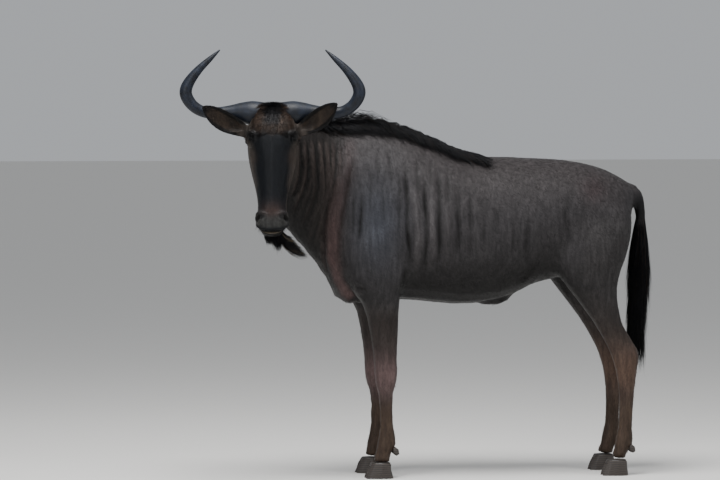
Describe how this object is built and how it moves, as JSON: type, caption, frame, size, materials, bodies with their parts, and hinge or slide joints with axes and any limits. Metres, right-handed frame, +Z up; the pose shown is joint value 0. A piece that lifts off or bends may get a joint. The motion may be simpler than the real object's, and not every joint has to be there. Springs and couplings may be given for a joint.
{
  "type": "wildebeest",
  "caption": "Blue wildebeest bull standing square at life size, head turned to its left, curved horns, black mane, beard and tail.",
  "frame": {"origin": "on the ground, under the middle of the whole animal seen from above", "axes": "+Z up; the body lies along X with the tail towards +X and the chest towards -X; its left side is -Y, and the head is turned to look along -Y"},
  "size_m": [1.8667, 0.7385, 1.6508],
  "materials": {
    "body_hide": "short slate-grey coat with darker upright brindle stripes, slight sheen",
    "face_hide": "near-black short hair on the bridge of the face, browner on the cheeks and brow",
    "leg_hide": "short umber-brown coat",
    "long_hair": "coarse black hair in long locks",
    "horn": "dark grey keratin, slightly glossy, black towards the tips",
    "hoof": "dark keratin, worn at the edge",
    "eye": "wet, nearly black brown"
  },
  "bodies": {
    "root": {"torso": "body_hide", "neck": "body_hide", "head": "face_hide", "left_ear": "body_hide", "right_ear": "body_hide", "left_eye": "eye", "right_eye": "eye", "left_horn": "horn", "right_horn": "horn", "mane": "long_hair", "forelock": "long_hair", "beard": "long_hair", "tail_dock": "body_hide", "tail_brush": "long_hair", "left_foreleg_upper": "leg_hide", "left_foreleg_lower": "leg_hide", "left_fore_hoof": "hoof", "left_fore_dewclaw_inner": "hoof", "left_fore_dewclaw_outer": "hoof", "right_foreleg_upper": "leg_hide", "right_foreleg_lower": "leg_hide", "right_fore_hoof": "hoof", "right_fore_dewclaw_inner": "hoof", "right_fore_dewclaw_outer": "hoof", "left_hindleg_upper": "leg_hide", "left_hindleg_lower": "leg_hide", "left_hind_hoof": "hoof", "left_hind_dewclaw_inner": "hoof", "left_hind_dewclaw_outer": "hoof", "right_hindleg_upper": "leg_hide", "right_hindleg_lower": "leg_hide", "right_hind_hoof": "hoof", "right_hind_dewclaw_inner": "hoof", "right_hind_dewclaw_outer": "hoof"}
  },
  "joints": []
}
